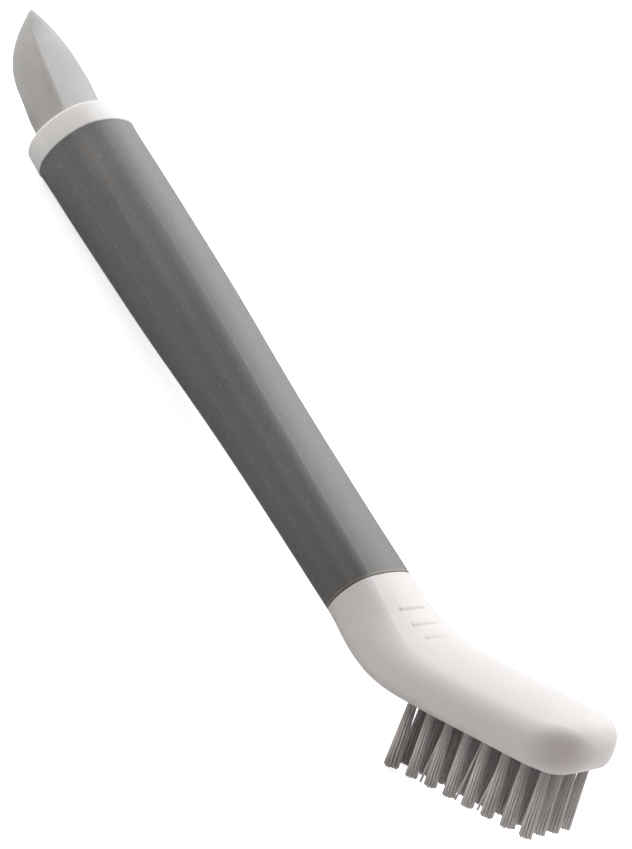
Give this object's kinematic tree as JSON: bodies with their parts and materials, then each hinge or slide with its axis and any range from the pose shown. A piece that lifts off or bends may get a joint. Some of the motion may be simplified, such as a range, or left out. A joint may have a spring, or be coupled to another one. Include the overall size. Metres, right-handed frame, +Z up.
{
  "type": "hand scrub brush with scraper tip",
  "caption": "Hand-held detail brush: angled bristle head on a tapered soft grip, with a collar and a pointed flexible scraper tip at the other end.",
  "frame": {"origin": "bottom centre of the bounding box, on the surface the brush lies on", "axes": "+X from the scraper tip to the brush head, +Z up with the brush lying on its heel bristles and the rim of the end collar, Y across the symmetric width"},
  "size_m": [0.2282, 0.0296, 0.0441],
  "materials": {
    "white_plastic": "satin moulded polypropylene",
    "grip_rubber": "matte soft-touch elastomer",
    "tip_rubber": "matte flexible elastomer",
    "bristle": "stiff extruded filaments, trimmed flat",
    "anchor_metal": "flat drawn wire"
  },
  "bodies": {
    "root": {"brush_head": "white_plastic", "end_collar": "white_plastic", "grip_sleeve": "grip_rubber", "scraper_tip": "tip_rubber", "tuft_anchors": "anchor_metal", "tuft_1_1": "bristle", "tuft_1_2": "bristle", "tuft_1_3": "bristle", "tuft_1_4": "bristle", "tuft_1_5": "bristle", "tuft_1_6": "bristle", "tuft_1_7": "bristle", "tuft_1_8": "bristle", "tuft_2_1": "bristle", "tuft_2_2": "bristle", "tuft_2_3": "bristle", "tuft_2_4": "bristle", "tuft_2_5": "bristle", "tuft_2_6": "bristle", "tuft_2_7": "bristle", "tuft_2_8": "bristle", "tuft_3_1": "bristle", "tuft_3_2": "bristle", "tuft_3_3": "bristle", "tuft_3_4": "bristle", "tuft_3_5": "bristle", "tuft_3_6": "bristle", "tuft_3_7": "bristle", "tuft_3_8": "bristle", "tuft_4_1": "bristle", "tuft_4_2": "bristle", "tuft_4_3": "bristle", "tuft_4_4": "bristle", "tuft_4_5": "bristle", "tuft_4_6": "bristle", "tuft_4_7": "bristle", "tuft_4_8": "bristle"}
  },
  "joints": []
}
